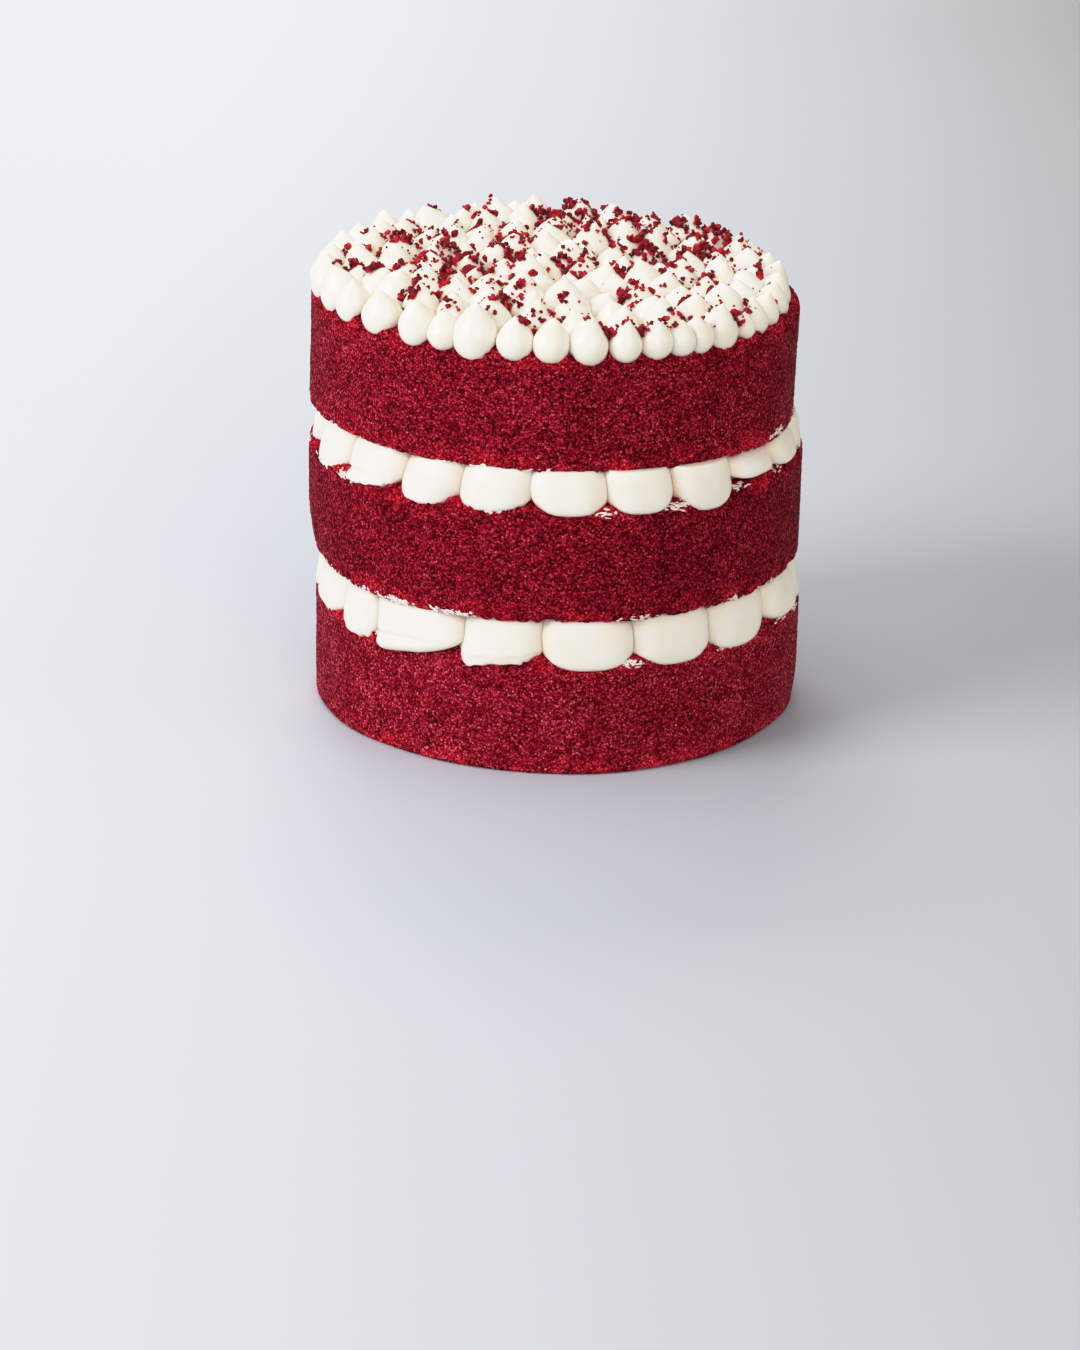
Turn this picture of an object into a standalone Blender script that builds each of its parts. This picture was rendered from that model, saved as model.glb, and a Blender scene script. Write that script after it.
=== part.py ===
"""A naked red velvet cake of three sponge layers, built with Blender's own tools.

Large piped blobs of cream fill the two gaps between the layers and show all round.
The top is covered with small piped drops of the same cream, sprinkled with cake crumbs.
Units are metres, +Z is up, and the origin is the centre of the flat base.
An angle round the cake is counted from the front (-Y) and grows towards the right (+X).
"""

import math
import random
from collections import namedtuple

import bmesh
import bpy
from mathutils import Matrix, Vector
from mathutils.bvhtree import BVHTree

# The sponges come from 8-inch (203 mm) pans and are about 2 inches (50 mm) thick.
# shift is how far a layer sits off the middle, and tilt lowers its right side.
Layer = namedtuple("Layer", "name radius shift bottom height top_round bottom_round tilt phase")
BOTTOM_SPONGE = Layer("sponge_bottom", 0.1028, 0.0, 0.0, 0.0505, 0.0040, 0.0020, 0.0, 0.4)
MIDDLE_SPONGE = Layer("sponge_middle", 0.1041, -0.0020, 0.0650, 0.0495, 0.0045, 0.0030, 0.0, 2.1)
TOP_SPONGE = Layer("sponge_top", 0.1009, -0.0038, 0.1272, 0.0503, 0.0055, 0.0015, 1.3, 4.0)
SPONGE_STEPS = 40
ROUND_POINTS = 3
WOBBLE = 0.0006

# What rests on or lies against another piece keeps this clearance.
GAP = 0.0003

# The fillings: piped blobs, side by side, flattened between two sponges.
# The ring of blobs has its own radius and lies a little off the middle, by shift in X and Y.
# creases are the angles between the blobs seen at the front; blobs_behind fill the rest of the ring.
# tapers tell how far the foot of each front blob rises towards its right end, and lifts how much less
# it hangs, in mm.
Filling = namedtuple("Filling", "name below above radius shift creases tapers lifts blobs_behind seed")
LOWER_FILLING = Filling(
    "filling_lower", BOTTOM_SPONGE, MIDDLE_SPONGE, 0.1018, (0.0, -0.0026),
    (-82.5, -61.8, -47.6, -23.5, -2.9, 18.0, 39.2, 60.4, 81.0),
    (0, 0, 0.5, 0.4, 0, 0, 0, 0), (2.5, 0, -2.0, -2.0, 1.0, 0.5, 1.0, 3.5), 9, 5)
UPPER_FILLING = Filling(
    "filling_upper", MIDDLE_SPONGE, TOP_SPONGE, 0.1014, (-0.0013, -0.0034),
    (-78.0, -59.4, -39.8, -23.0, -6.0, 11.7, 28.7, 46.6, 63.9, 82.0),
    (0, 0.2, 0, 0.3, 0, 0, 0, 0, 0), (-1.5, 1.0, 1.5, 0, 2.5, 2.0, 0.5, 8.0, 6.0), 11, 8)
BLOB_DEPTH = 0.0105
BLOB_UNEVEN = 0.0004
BLOB_BULGE = 0.0038
BLOB_ROUND = 0.0048
# How boxy a blob is across, outwards and upwards: 1 is a globe, less is boxier.
BLOB_BOXINESS = (0.80, 0.46, 0.82)
# How far a blob hangs below the top of the sponge under it
BLOB_HANG = 0.0070
# How far the flattened top of a blob reaches up round the sponge's lower edge
BLOB_TOP = 0.0010
BLOB_SIDES = 10
# The rings of facets of a blob are moved away from its outermost point by this factor, towards its edge.
BLOB_RING_SPREAD = 1.22
BLOB_JITTER = 1.2
FILLING_CORE_INSET = 0.0085
CORE_STEPS = 20

# The piped drops: rim drops seen at the front as (angle, width in mm), the others by rule.
RIM_DROPS = (
    (-79.5, 15.6), (-68.5, 17.3), (-59.5, 15.2), (-47.8, 16.9), (-35.3, 15.8), (-27.5, 14.5), (-20, 19.4),
    (-9.5, 15.8), (-0.8, 15.8), (8.0, 16.5), (17.0, 14.2), (25.0, 14.3), (31.5, 13.4), (37.0, 14.3),
    (44.3, 17.0), (52.5, 9.5), (58.5, 14.5), (66.5, 14.2), (75.5, 14.8),
)
BACK_RIM_DROPS = 20
BACK_RIM_START = 85.0
BACK_RIM_END = 271.0
RIM_REACH = 0.0005
RIM_RISE = 0.0014
# On the right the ring of drops was drawn in by up to this much.
RIM_DRAWN_IN = 0.0040
# The ring of drops was piped a little towards the front of the sponge.
RIM_SHIFT = (-0.0006, -0.0023)
RIM_LEAN = 12.0
# Each inner ring: its radius, the drops in it and the usual drop width.
INNER_RINGS = ((0.0810, 30, 0.0182), (0.0670, 25, 0.0182), (0.0530, 20, 0.0186),
               (0.0395, 15, 0.0182), (0.0260, 10, 0.0178), (0.0130, 4, 0.0182))
INNER_RISE = 0.0030
DROP_SEED = 21
DROP_BELLY = 0.40
DROP_SHARPNESS = 1.4
# Sides of a drop, the levels between its tip and its belly, and the steps of its foot in degrees
RIM_FACETS = (7, (0.72, 0.38), (0, -50))
INNER_FACETS = (6, (0.50,), (0,))
CREAM_BED_RADIUS = 0.0900
CREAM_BED_DEPTH = 0.0025

# The crumbs that are large enough to see from a step away
CRUMBS = 24
CRUMB_SEED = 11
CRUMB_FIELD = 0.0860
CRUMB_MIN_RADIUS = 0.0013
CRUMB_MAX_RADIUS = 0.0027
CRUMB_SINK = 0.35

# Colours as linear RGB
SPONGE_RED = (0.22, 0.008, 0.018)
CREAM_WHITE = (0.93, 0.90, 0.80)


def clear_scene():
    for obj in list(bpy.data.objects):
        bpy.data.objects.remove(obj, do_unlink=True)


def new_collection(name):
    collection = bpy.data.collections.new(name)
    bpy.context.scene.collection.children.link(collection)
    return collection


def food_material(name, colour, roughness):
    """A Principled surface, matt for sponge and satin for cream."""
    material = bpy.data.materials.new(name)
    material.use_nodes = True
    shader = material.node_tree.nodes["Principled BSDF"]
    shader.inputs["Base Color"].default_value = (*colour, 1.0)
    shader.inputs["Roughness"].default_value = roughness
    shader.inputs["Metallic"].default_value = 0.0
    return material


def add_object(name, mesh, collection, matrix=Matrix.Identity(4)):
    obj = bpy.data.objects.new(name, mesh)
    obj.matrix_world = matrix
    collection.objects.link(obj)
    return obj


def add_turned(name, profile, steps, collection, matrix=Matrix.Identity(4)):
    """A profile of (radius, height) points, from its top to its bottom, turned about Z."""
    mesh = bpy.data.meshes.new(name)
    points = [(radius, 0.0, height) for radius, height in profile]
    mesh.from_pydata(points, [(i, i + 1) for i in range(len(points) - 1)], [])
    obj = add_object(name, mesh, collection, matrix)
    screw = obj.modifiers.new("turned", "SCREW")
    screw.steps = steps
    screw.render_steps = steps
    screw.use_merge_vertices = True
    screw.merge_threshold = 0.00001
    return obj


def freeze(obj):
    """Replaces the object's mesh by the mesh that its modifiers make, and removes them."""
    graph = bpy.context.evaluated_depsgraph_get()
    obj.data = bpy.data.meshes.new_from_object(obj.evaluated_get(graph))
    obj.modifiers.clear()


def fuse(obj, collection):
    """Joins everything in the collection to the object and empties the collection."""
    union = obj.modifiers.new("fused", "BOOLEAN")
    union.operation = "UNION"
    union.operand_type = "COLLECTION"
    union.collection = collection
    union.solver = "MANIFOLD"
    freeze(obj)
    for piece in list(collection.objects):
        bpy.data.objects.remove(piece, do_unlink=True)


def keep_main_body(obj):
    """Keeps the largest connected body: fills sealed hollows and drops loose scraps."""
    shape = bmesh.new()
    shape.from_mesh(obj.data)
    unseen = set(shape.verts)
    bodies = []
    while unseen:
        front = [unseen.pop()]
        body = list(front)
        while front:
            near = {edge.other_vert(vertex) for vertex in front for edge in vertex.link_edges} & unseen
            unseen -= near
            front = list(near)
            body.extend(front)
        bodies.append(body)
    bodies.sort(key=len)
    for body in bodies[:-1]:
        bmesh.ops.delete(shape, geom=body, context="VERTS")
    shape.to_mesh(obj.data)
    shape.free()


def carve(obj, cutter):
    """Cuts the shape of the cutter out of the object."""
    cut = obj.modifiers.new("carved", "BOOLEAN")
    cut.operation = "DIFFERENCE"
    cut.object = cutter
    cut.solver = "MANIFOLD"
    freeze(obj)


def seat(layer):
    """Where a layer's own frame lies: its base centre, moved and tilted as it was stacked."""
    place = Matrix.Translation((layer.shift, 0.0, layer.bottom))
    return place @ Matrix.Rotation(math.radians(layer.tilt), 4, "Y")


def spot_on_ring(radius, angle):
    """The point of a ring about Z at this angle from the front."""
    return Vector((radius * math.sin(math.radians(angle)), -radius * math.cos(math.radians(angle)), 0.0))


def layer_profile(layer):
    """Half section of a sponge with rounded edges, from its top centre to its bottom centre."""
    points = [(0.0, layer.height)]
    corners = (
        (layer.height - layer.top_round, layer.top_round, 90, 0),
        (layer.bottom_round, layer.bottom_round, 0, -90),
    )
    for centre_height, rounding, start, end in corners:
        for k in range(ROUND_POINTS):
            angle = math.radians(start + (end - start) * k / (ROUND_POINTS - 1))
            radius = layer.radius - rounding + rounding * math.cos(angle)
            points.append((radius, centre_height + rounding * math.sin(angle)))
    points.append((0.0, 0.0))
    return points


def side_wobble(angle, phase):
    """How far the cut side of a sponge stands out at this angle, from slow waves round the cake."""
    waves = math.sin(2 * angle + phase) + 0.6 * math.sin(5 * angle + 2.3 * phase)
    return WOBBLE * (waves + 0.4 * math.sin(11 * angle - phase))


def add_disc(layer, profile, collection):
    """A turned disc in a layer's own frame, with the layer's uneven side."""
    disc = add_turned(layer.name, profile, SPONGE_STEPS, collection, seat(layer))
    freeze(disc)
    for vertex in disc.data.vertices:
        x, y, _ = vertex.co
        out = math.hypot(x, y)
        if out > layer.radius / 2:
            scale = 1 + side_wobble(math.atan2(x, -y), layer.phase) / out
            vertex.co.x *= scale
            vertex.co.y *= scale
    return disc


def add_cutter(layer, cutters):
    """The room that a sponge needs: its disc with plain edges, larger all round by the clearance."""
    top, radius = layer.height + GAP, layer.radius + GAP
    cutter = add_disc(layer, [(0.0, top), (radius, top), (radius, -GAP), (0.0, -GAP)], cutters)
    cutter.name = layer.name + "_cutter"
    cutter.hide_render = True
    cutter.display_type = "WIRE"
    return cutter


def underside(layer, x):
    """How high the flat underside of a sponge lies at this x, with its tilt."""
    return layer.bottom - math.tan(math.radians(layer.tilt)) * (x - layer.shift)


def spread_ring(unit):
    """Moves a point of the unit sphere's outer half away from its pole, along the sphere."""
    across = math.hypot(unit.x, unit.z)
    if unit.y < 0.01 or across < 0.01:
        return unit
    angle = math.atan2(across, unit.y) * BLOB_RING_SPREAD
    stretch = math.sin(angle) / across
    return Vector((unit.x * stretch, math.cos(angle), unit.z * stretch))


def blob_point(unit, half_width, half_height, taper):
    """Maps a unit sphere to a pillow of cream, swollen low down, its ends rounded off. Y points out."""
    x, y, z = (math.copysign(abs(value) ** power, value) for value, power in zip(unit, BLOB_BOXINESS))
    if z < 0:
        z *= 1 + taper * (unit.x - 1) / 2
    out = BLOB_DEPTH * y - BLOB_BULGE * unit.z - BLOB_ROUND * abs(unit.x) ** 3
    return Vector((half_width * x, out, half_height * z))


def blob_places(filling, draw):
    """Yields (angle, half width as an angle, taper, hang) of each blob, first those at the front."""
    creases = filling.creases
    for before, after, taper, lift in zip(creases, creases[1:], filling.tapers, filling.lifts):
        yield (before + after) / 2, (after - before) / 2, taper, BLOB_HANG - lift / 1000
    share = (360.0 - creases[-1] + creases[0]) / filling.blobs_behind
    for k in range(filling.blobs_behind):
        angle = creases[-1] + share * (k + 0.5) + draw.uniform(-BLOB_JITTER, BLOB_JITTER)
        yield angle, share / 2, 0.0, BLOB_HANG


def add_filling(filling, collection, cutters):
    """A cream layer: a core disc that runs through the cake, with piped blobs round its edge."""
    below, above = filling.below, filling.above
    floor = below.bottom + below.height
    middle = (floor + above.bottom) / 2
    thickness = above.bottom - floor
    core_radius = filling.radius - FILLING_CORE_INSET
    core_profile = [(0.0, thickness), (core_radius, thickness), (core_radius, -thickness), (0.0, -thickness)]
    centre = Matrix.Translation((*filling.shift, middle))
    core = add_turned(filling.name, core_profile, CORE_STEPS, collection, centre)
    freeze(core)
    blobs = new_collection(filling.name + "_blobs")
    draw = random.Random(filling.seed)
    flat_foot = Matrix.Rotation(math.pi / BLOB_SIDES, 4, "Z")
    pole_outwards = Matrix.Rotation(math.radians(90), 4, "X") @ flat_foot
    for angle, half_angle, taper, hang in blob_places(filling, draw):
        half_width = math.radians(half_angle) * filling.radius * draw.uniform(1.04, 1.10)
        reach = filling.radius + draw.uniform(-BLOB_UNEVEN, BLOB_UNEVEN)
        mesh = bpy.data.meshes.new("blob")
        place = centre.translation + spot_on_ring(reach - BLOB_DEPTH, angle)
        turn = Matrix.Rotation(math.radians(angle + 180), 4, "Z")
        shape = bmesh.new()
        bmesh.ops.create_uvsphere(
            shape, u_segments=BLOB_SIDES, v_segments=6, radius=1.0, matrix=pole_outwards
        )
        for vertex in shape.verts:
            unit = spread_ring(vertex.co)
            point = place + turn @ blob_point(unit, half_width, thickness / 2 + hang, taper)
            point.z = min(point.z, underside(above, point.x) + BLOB_TOP)
            vertex.co = point
        shape.to_mesh(mesh)
        shape.free()
        add_object("blob", mesh, blobs)
    fuse(core, blobs)
    for layer in (below, above):
        carve(core, cutters[layer.name])
    keep_main_body(core)
    return core


def drop_profile(radius, height, levels, foot_steps):
    """Half section of a piped drop: a round foot, its belly low down, and a taper to the pulled tip."""
    belly = DROP_BELLY * height
    points = [(0.0, height - belly)]
    for t in levels:
        points.append((radius * (1 - t**2) ** DROP_SHARPNESS, (height - belly) * t))
    for degrees in foot_steps:
        angle = math.radians(degrees)
        points.append((radius * math.cos(angle), belly * math.sin(angle)))
    points.append((0.0, -belly))
    return points


def drop_places(draw):
    """Yields each drop as (place of its belly, width, height, axis it leans about, lean, facets)."""
    rim = list(RIM_DROPS)
    back_step = (BACK_RIM_END - BACK_RIM_START) / (BACK_RIM_DROPS - 1)
    for k in range(BACK_RIM_DROPS):
        rim.append((BACK_RIM_START + back_step * k + draw.uniform(-1.2, 1.2), draw.uniform(13.5, 17.5)))
    for angle, width_mm in rim:
        width = width_mm / 1000
        inset = RIM_DRAWN_IN * max(0.0, math.sin(math.radians(angle))) ** 4
        place = spot_on_ring(TOP_SPONGE.radius + RIM_REACH - inset - width / 2, angle)
        place += Vector((*RIM_SHIFT, TOP_SPONGE.height + RIM_RISE))
        height = width * draw.uniform(1.15, 1.35)
        sideways = spot_on_ring(1.0, angle + 90 + draw.uniform(-25, 25))
        yield place, width, height, sideways, draw.uniform(0.3, 1.2) * RIM_LEAN, RIM_FACETS
    for ring_radius, count, usual_width in INNER_RINGS:
        start = draw.uniform(0, 360)
        for k in range(count):
            ring_angle = start + 360 * k / count + draw.uniform(-20, 20) / count
            place = spot_on_ring(ring_radius + draw.uniform(-0.002, 0.002), ring_angle)
            width = usual_width * draw.uniform(0.78, 1.16)
            place.z = TOP_SPONGE.height + INNER_RISE + draw.uniform(-0.001, 0.001)
            height = width * draw.uniform(1.05, 1.35)
            axis = spot_on_ring(1.0, draw.uniform(0, 360))
            yield place, width, height, axis, draw.uniform(0, 16), INNER_FACETS


def crumb_spots(draw, surface):
    """Yields (place, radius) of crumbs lying on the drops, denser in the middle and to the right."""
    found = 0
    while found < CRUMBS:
        x = draw.uniform(-CRUMB_FIELD, CRUMB_FIELD)
        y = draw.uniform(-CRUMB_FIELD, CRUMB_FIELD)
        out = math.hypot(x, y) / CRUMB_FIELD
        likely = (1.0 - 0.55 * out**2) * (0.75 + 0.25 * x / CRUMB_FIELD)
        radius = CRUMB_MIN_RADIUS + (CRUMB_MAX_RADIUS - CRUMB_MIN_RADIUS) * draw.random() ** 2
        if out > 1.0 or draw.random() > likely:
            continue
        hit, normal, _, _ = surface.ray_cast(Vector((x, y, 1.0)), Vector((0.0, 0.0, -1.0)))
        found += 1
        yield hit + normal * radius * (1 - 2 * CRUMB_SINK), radius


def add_topping(collection, cutters):
    """The cream on top: a thin bed, drops piped all over it, and the larger crumbs stuck to them."""
    bed_top = TOP_SPONGE.height + CREAM_BED_DEPTH
    bed_profile = [
        (0.0, bed_top), (CREAM_BED_RADIUS, bed_top),
        (CREAM_BED_RADIUS, TOP_SPONGE.height - CREAM_BED_DEPTH), (0.0, TOP_SPONGE.height - CREAM_BED_DEPTH),
    ]
    topping = add_turned("topping", bed_profile, CORE_STEPS, collection)
    freeze(topping)
    pieces = new_collection("topping_pieces")
    draw = random.Random(DROP_SEED)
    for place, width, height, axis, lean, (sides, levels, foot_steps) in drop_places(draw):
        profile = drop_profile(width / 2, height, levels, foot_steps)
        turn = Matrix.Rotation(math.radians(lean), 4, axis)
        add_turned("drop", profile, sides, pieces, Matrix.Translation(place) @ turn)
    fuse(topping, pieces)
    surface = BVHTree.FromObject(topping, bpy.context.evaluated_depsgraph_get())
    draw = random.Random(CRUMB_SEED)
    for place, radius in crumb_spots(draw, surface):
        mesh = bpy.data.meshes.new("crumb")
        shape = bmesh.new()
        bmesh.ops.create_icosphere(shape, subdivisions=1, radius=radius)
        for vertex in shape.verts:
            vertex.co *= draw.uniform(0.75, 1.2)
        shape.to_mesh(mesh)
        shape.free()
        add_object("crumb", mesh, pieces, Matrix.Translation(place))
    fuse(topping, pieces)
    topping.matrix_world = seat(TOP_SPONGE)
    carve(topping, cutters[TOP_SPONGE.name])
    keep_main_body(topping)
    return topping


def finish(obj, material):
    obj.data.materials.clear()
    obj.data.materials.append(material)
    obj.data.shade_smooth()
    obj.data.set_sharp_from_angle(angle=math.radians(50))


def main():
    clear_scene()
    cake = new_collection("naked_cake")
    cutter_collection = new_collection("cutters")
    red_crumb = food_material("red_velvet_sponge", SPONGE_RED, 0.95)
    cream = food_material("cream_cheese_cream", CREAM_WHITE, 0.35)
    layers = (BOTTOM_SPONGE, MIDDLE_SPONGE, TOP_SPONGE)
    cutters = {layer.name: add_cutter(layer, cutter_collection) for layer in layers}
    for layer in layers:
        finish(add_disc(layer, layer_profile(layer), cake), red_crumb)
    for filling in (LOWER_FILLING, UPPER_FILLING):
        finish(add_filling(filling, cake, cutters), cream)
    finish(add_topping(cake, cutters), cream)


main()
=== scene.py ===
# %% [markdown]
# This lesson dresses a naked red velvet cake, from plain solids to a picture.
# The solids give the true sizes: three sponges, two fillings and a piped topping.
# Each of them is replaced here by a finer surface of the same form, worked out with numpy.
# Lengths are in metres, +Z is up and the front of the cake faces -Y.

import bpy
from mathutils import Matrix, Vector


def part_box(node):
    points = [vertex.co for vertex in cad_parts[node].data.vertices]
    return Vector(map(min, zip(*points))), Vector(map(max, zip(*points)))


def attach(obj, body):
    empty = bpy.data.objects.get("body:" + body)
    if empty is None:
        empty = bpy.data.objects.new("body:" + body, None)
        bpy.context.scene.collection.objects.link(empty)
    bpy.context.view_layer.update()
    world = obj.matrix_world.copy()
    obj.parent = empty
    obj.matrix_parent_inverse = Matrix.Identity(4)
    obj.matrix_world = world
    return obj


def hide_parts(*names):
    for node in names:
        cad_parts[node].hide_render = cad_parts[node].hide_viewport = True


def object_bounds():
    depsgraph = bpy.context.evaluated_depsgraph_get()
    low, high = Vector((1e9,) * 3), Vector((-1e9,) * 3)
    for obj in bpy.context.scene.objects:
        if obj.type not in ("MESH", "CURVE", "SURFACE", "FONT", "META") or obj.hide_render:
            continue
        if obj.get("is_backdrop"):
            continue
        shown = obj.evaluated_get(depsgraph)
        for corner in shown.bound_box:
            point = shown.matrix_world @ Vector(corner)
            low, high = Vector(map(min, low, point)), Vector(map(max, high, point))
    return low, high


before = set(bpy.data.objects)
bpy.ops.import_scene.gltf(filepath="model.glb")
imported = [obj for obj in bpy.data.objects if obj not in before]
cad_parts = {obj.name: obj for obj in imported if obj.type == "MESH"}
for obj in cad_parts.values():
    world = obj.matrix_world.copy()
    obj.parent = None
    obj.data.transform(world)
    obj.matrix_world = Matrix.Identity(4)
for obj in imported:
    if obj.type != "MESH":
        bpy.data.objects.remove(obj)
cad_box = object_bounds()
print("solids:", sorted(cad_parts))

# %% [markdown]
# Blender's own modules make the meshes and the materials, and numpy works out where all the points go.

# %% Modules and the millimetre
import itertools
import math
import random
from collections import namedtuple

import bpy
import numpy as np
from mathutils import Matrix, Vector
from mathutils.bvhtree import BVHTree

MM = 0.001

# %% [markdown]
# The cake is a stack of discs, so a few numbers place everything on it.
# A layer has a radius, a height, a shift off the middle and a small tilt, as it was stacked by hand.
# The same numbers built the solids, so the fine surfaces land exactly on them.

# %% Driving sizes of the stack
Layer = namedtuple("Layer", "name radius shift bottom height top_round bottom_round tilt phase")
BOTTOM_SPONGE = Layer("sponge_bottom", 0.1028, 0.0, 0.0, 0.0505, 0.0040, 0.0020, 0.0, 0.4)
MIDDLE_SPONGE = Layer("sponge_middle", 0.1041, -0.0020, 0.0650, 0.0495, 0.0045, 0.0030, 0.0, 2.1)
TOP_SPONGE = Layer("sponge_top", 0.1009, -0.0038, 0.1272, 0.0503, 0.0055, 0.0015, 1.3, 4.0)
LAYERS = (BOTTOM_SPONGE, MIDDLE_SPONGE, TOP_SPONGE)
WOBBLE = 0.0006


def seat(layer):
    """A layer's own frame: its base centre, moved and then tilted about Y."""
    tilted = Matrix.Rotation(math.radians(layer.tilt), 4, "Y")
    return Matrix.Translation((layer.shift, 0.0, layer.bottom)) @ tilted


def moved(matrix, points):
    """Every point of an array times a 4 x 4 matrix: turned by its 3 x 3 part, then shifted."""
    m = np.array(matrix)
    return points @ m[:3, :3].T + m[:3, 3]


for layer in LAYERS:
    low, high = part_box(layer.name)
    print(layer.name, "spans", round(low.z / MM, 1), "to", round(high.z / MM, 1), "mm above the base")

# %% [markdown]
# Crumb and cream are never smooth, so two kinds of noise are needed again and again.
# Value noise puts a random number on every corner of a grid of cubes and blends between them.
# Grain noise drops one random point in every cube and asks how near the nearest one is.
# Both work on whole arrays at once, which is hundreds of times faster than a loop over vertices.

# %% Noise on arrays of points
def corner_numbers(cells, seed):
    """One number from 0 to 1 for each integer cell: its coordinates are mixed by primes and bit shifts."""
    mixed = cells[..., 0] * 73856093 ^ cells[..., 1] * 19349663 ^ cells[..., 2] * 83492791 ^ seed * 668265263
    mixed = (mixed ^ (mixed >> 13)) * 1274126177
    mixed = (mixed ^ (mixed >> 16)) & 0xFFFFFF
    return mixed / 0xFFFFFF


def value_noise(points, size, seed):
    """Noise in -1 to 1. Corner numbers are blended with weights f*f*(3-2f), f being the place in the cell."""
    scaled = points / size
    cell = np.floor(scaled).astype(np.int64)
    place = scaled - cell
    blend = place * place * (3 - 2 * place)
    total = np.zeros(points.shape[:-1])
    for corner in itertools.product((0, 1), repeat=3):
        step = np.array(corner)
        weight = np.prod(np.where(step == 1, blend, 1 - blend), axis=-1)
        total += weight * corner_numbers(cell + step, seed)
    return 2 * total - 1


def grain_noise(points, size, seed):
    """Distance to the nearest of the random points, one in each cell, divided by the cell size."""
    scaled = points / size
    cell = np.floor(scaled).astype(np.int64)
    nearest = np.full(points.shape[:-1], 9.0)
    for corner in itertools.product((-1, 0, 1), repeat=3):
        other = cell + np.array(corner)
        spot = np.stack([corner_numbers(other, seed + k) for k in range(3)], axis=-1)
        nearest = np.minimum(nearest, np.linalg.norm(other + spot - scaled, axis=-1))
    return nearest


sample = np.random.default_rng(1).uniform(0, 0.1, (2000, 3))
sample_noise = value_noise(sample, 3 * MM, 5)
print("value noise spans", sample_noise.min().round(2), "to", sample_noise.max().round(2))

# %% [markdown]
# Every shape here is closed: rings of points between a top pole and a bottom pole.
# A globe, a sponge, a blob and a drop of cream are all such stacks of rings, only bent differently.
# One helper turns many of them at once into a single mesh, with quads between rings and fans at the poles.

# %% From rings to a mesh
def add_closed(name, rings, tops, bottoms, smooth=True):
    """Builds one mesh from K shapes. rings is (K, rows, columns, 3), top to bottom and counter-clockwise."""
    count, rows, columns, _ = rings.shape
    points = np.concatenate([tops[:, None], rings.reshape(count, -1, 3), bottoms[:, None]], axis=1)
    size = rows * columns + 2
    row, column = np.meshgrid(np.arange(rows - 1), np.arange(columns), indexing="ij")
    a = (1 + row * columns + column).ravel()
    b = (1 + row * columns + (column + 1) % columns).ravel()
    quads = np.stack([a, a + columns, b + columns, b], axis=1)
    edge = np.arange(columns)
    after = (edge + 1) % columns
    last = 1 + (rows - 1) * columns
    caps = np.concatenate([
        np.stack([np.zeros_like(edge), 1 + edge, 1 + after], axis=1),
        np.stack([np.full_like(edge, size - 1), last + after, last + edge], axis=1),
    ])
    offsets = np.arange(count)[:, None, None] * size
    corners = np.concatenate([(quads + offsets).reshape(-1), (caps + offsets).reshape(-1)])
    sides = np.concatenate([np.full(count * len(quads), 4), np.full(count * len(caps), 3)])
    mesh = bpy.data.meshes.new(name)
    mesh.vertices.add(count * size)
    mesh.vertices.foreach_set("co", points.reshape(-1).astype(np.float32))
    mesh.loops.add(len(corners))
    mesh.loops.foreach_set("vertex_index", corners.astype(np.int32))
    mesh.polygons.add(len(sides))
    mesh.polygons.foreach_set("loop_start", (np.cumsum(sides) - sides).astype(np.int32))
    mesh.update(calc_edges=True)
    mesh.validate()
    if smooth:
        mesh.shade_smooth()
    piece = bpy.data.objects.new(name, mesh)
    bpy.context.scene.collection.objects.link(piece)
    print(name, "has", len(quads) * 2 * count + len(caps) * count, "triangles in", count, "shapes")
    return piece


# %% [markdown]
# A camera lens is described by its focal length, and the photographer stood well back with a long one.
# The cake fills only part of the picture, seen from about 20 degrees above its top edge.
# The lens, the distance and the slight roll below come from fitting the edges of the layers.

# %% Camera
CAMERA_DISTANCE = 1.600
CAMERA_HEIGHT = 0.6085
CAMERA_SIDE = -0.0066
CAMERA_PITCH = 0.361
CAMERA_ROLL = 0.019
SENSOR_LONG_SIDE = 36.0
FOCAL_PIXELS = 3986.2
IMAGE_HEIGHT = 1350

lens = bpy.data.cameras.new("camera")
lens.sensor_width = SENSOR_LONG_SIDE
lens.lens = FOCAL_PIXELS * SENSOR_LONG_SIDE / IMAGE_HEIGHT
lens.clip_end = 20.0
camera = bpy.data.objects.new("camera", lens)
camera.matrix_world = (
    Matrix.Translation((CAMERA_SIDE, -CAMERA_DISTANCE, CAMERA_HEIGHT))
    @ Matrix.Rotation(math.pi / 2 - CAMERA_PITCH, 4, "X")
    @ Matrix.Rotation(CAMERA_ROLL, 4, "Z")
)
bpy.context.scene.collection.objects.link(camera)
bpy.context.scene.camera = camera
print("lens of", round(lens.lens, 1), "mm, looking down", round(math.degrees(CAMERA_PITCH), 1), "degrees")

# %% [markdown]
# Materials are graphs of small nodes, and most of the work is adding nodes with the right settings.
# One helper adds a node, sets its properties and sockets, and joins what feeds it.
# Colours are hex values as a paint program shows them, and one function turns them to linear light.

# %% Helpers for materials
def linear(hex_colour):
    """sRGB hex to linear RGBA: c/12.92 when dark, else ((c+0.055)/1.055) to the power 2.4."""
    channels = [int(hex_colour[k:k + 2], 16) / 255 for k in (1, 3, 5)]
    return (*[c / 12.92 if c <= 0.04045 else ((c + 0.055) / 1.055) ** 2.4 for c in channels], 1.0)


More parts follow.
